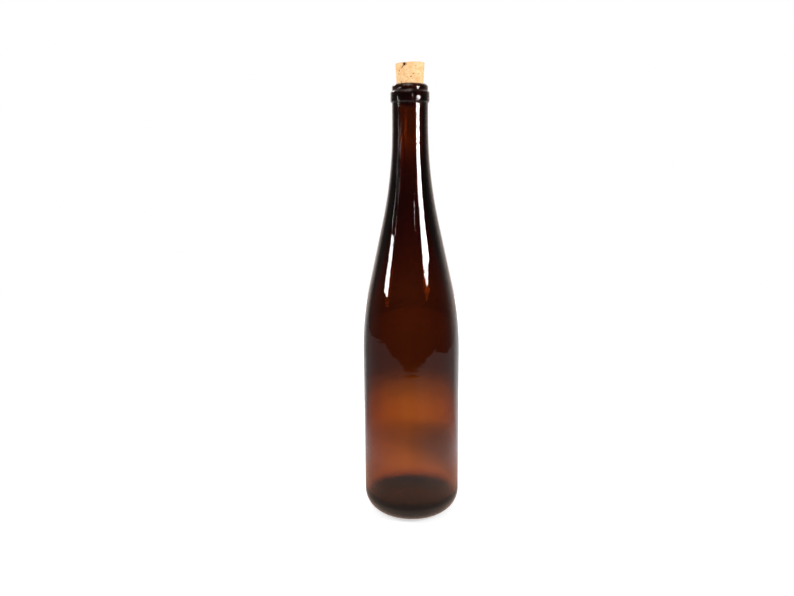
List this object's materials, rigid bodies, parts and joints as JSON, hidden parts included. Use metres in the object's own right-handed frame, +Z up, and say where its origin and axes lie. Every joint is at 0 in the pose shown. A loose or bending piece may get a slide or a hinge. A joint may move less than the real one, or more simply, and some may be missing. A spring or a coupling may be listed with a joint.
{
  "type": "corked wine bottle",
  "caption": "Tall slender flute bottle of brown glass, empty, with a long sloping shoulder, a banded mouth and a tapered cork stopper.",
  "frame": {"origin": "on the bottle's axis, in the plane it stands on", "axes": "+Z up along the bottle's axis towards the cork; +X to the right as seen from the front, -Y"},
  "size_m": [0.0766, 0.0766, 0.3538],
  "materials": {
    "glass": "dark amber-brown blown glass, clear and glossy, slightly wavy",
    "cork": "natural cork, matt, with dark pores and pits"
  },
  "bodies": {
    "root": {"bottle": "glass", "cork": "cork"}
  },
  "joints": []
}
